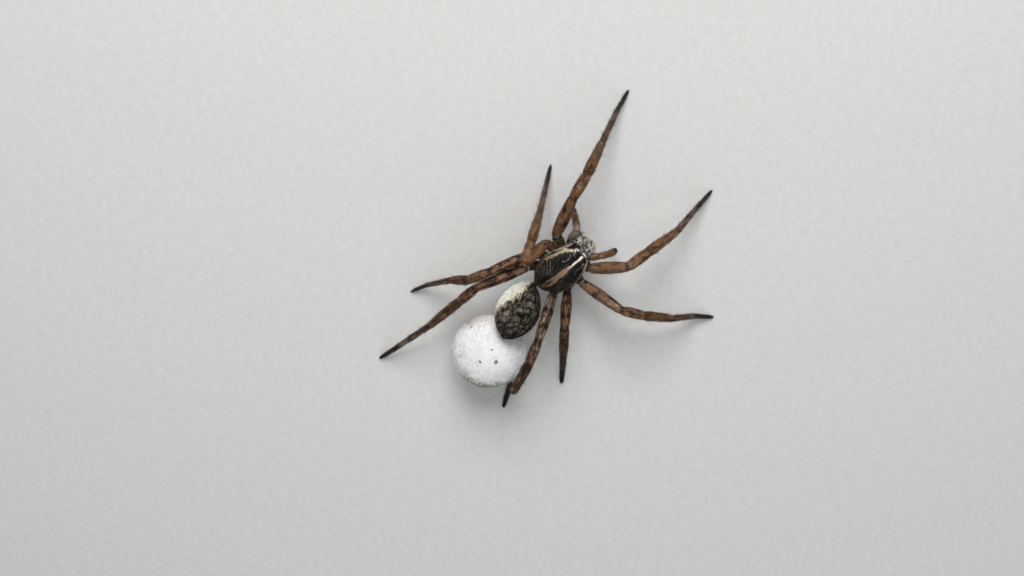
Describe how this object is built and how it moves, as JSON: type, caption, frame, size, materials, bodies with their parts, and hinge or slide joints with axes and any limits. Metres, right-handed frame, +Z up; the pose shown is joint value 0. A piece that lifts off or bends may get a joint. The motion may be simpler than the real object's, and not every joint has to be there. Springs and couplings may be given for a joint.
{
  "type": "wolf spider",
  "caption": "Still life-size wolf spider, a mother with a white silk egg sac fixed to her spinnerets, walking stance.",
  "frame": {"origin": "on the floor, under the middle of the whole model's box", "axes": "+Z up; the head faces -Y; +X is the spider's left side"},
  "size_m": [0.0364, 0.0562, 0.0139],
  "materials": {
    "carapace": "dark brown cuticle under short flat hair",
    "abdomen": "soft skin under dense short hair",
    "leg_cuticle": "orange-brown cuticle under fine hair",
    "jaw_cuticle": "brown cuticle with grey hair",
    "fang": "polished hard cuticle",
    "eye": "polished black lens",
    "silk": "papery white silk felt"
  },
  "bodies": {
    "root": {"abdomen": "abdomen", "carapace": "carapace", "chelicera_left": "jaw_cuticle", "chelicera_right": "jaw_cuticle", "egg_sac": "silk", "eye_front_middle_left": "eye", "eye_front_middle_right": "eye", "eye_front_side_left": "eye", "eye_front_side_right": "eye", "eye_large_left": "eye", "eye_large_right": "eye", "eye_rear_left": "eye", "eye_rear_right": "eye", "fang_left": "fang", "fang_right": "fang", "leg_left_1_coxa": "leg_cuticle", "leg_left_1_femur": "leg_cuticle", "leg_left_1_foot": "leg_cuticle", "leg_left_1_shin": "leg_cuticle", "leg_left_2_coxa": "leg_cuticle", "leg_left_2_femur": "leg_cuticle", "leg_left_2_foot": "leg_cuticle", "leg_left_2_shin": "leg_cuticle", "leg_left_3_coxa": "leg_cuticle", "leg_left_3_femur": "leg_cuticle", "leg_left_3_foot": "leg_cuticle", "leg_left_3_shin": "leg_cuticle", "leg_left_4_coxa": "leg_cuticle", "leg_left_4_femur": "leg_cuticle", "leg_left_4_foot": "leg_cuticle", "leg_left_4_shin": "leg_cuticle", "leg_right_1_coxa": "leg_cuticle", "leg_right_1_femur": "leg_cuticle", "leg_right_1_foot": "leg_cuticle", "leg_right_1_shin": "leg_cuticle", "leg_right_2_coxa": "leg_cuticle", "leg_right_2_femur": "leg_cuticle", "leg_right_2_foot": "leg_cuticle", "leg_right_2_shin": "leg_cuticle", "leg_right_3_coxa": "leg_cuticle", "leg_right_3_femur": "leg_cuticle", "leg_right_3_foot": "leg_cuticle", "leg_right_3_shin": "leg_cuticle", "leg_right_4_coxa": "leg_cuticle", "leg_right_4_femur": "leg_cuticle", "leg_right_4_foot": "leg_cuticle", "leg_right_4_shin": "leg_cuticle", "maxilla_left": "jaw_cuticle", "maxilla_right": "jaw_cuticle", "palp_left_femur": "leg_cuticle", "palp_left_shin": "leg_cuticle", "palp_left_tarsus": "leg_cuticle", "palp_right_femur": "leg_cuticle", "palp_right_shin": "leg_cuticle", "palp_right_tarsus": "leg_cuticle", "pedicel": "jaw_cuticle", "spinnerets": "abdomen", "sternum": "jaw_cuticle"}
  },
  "joints": []
}
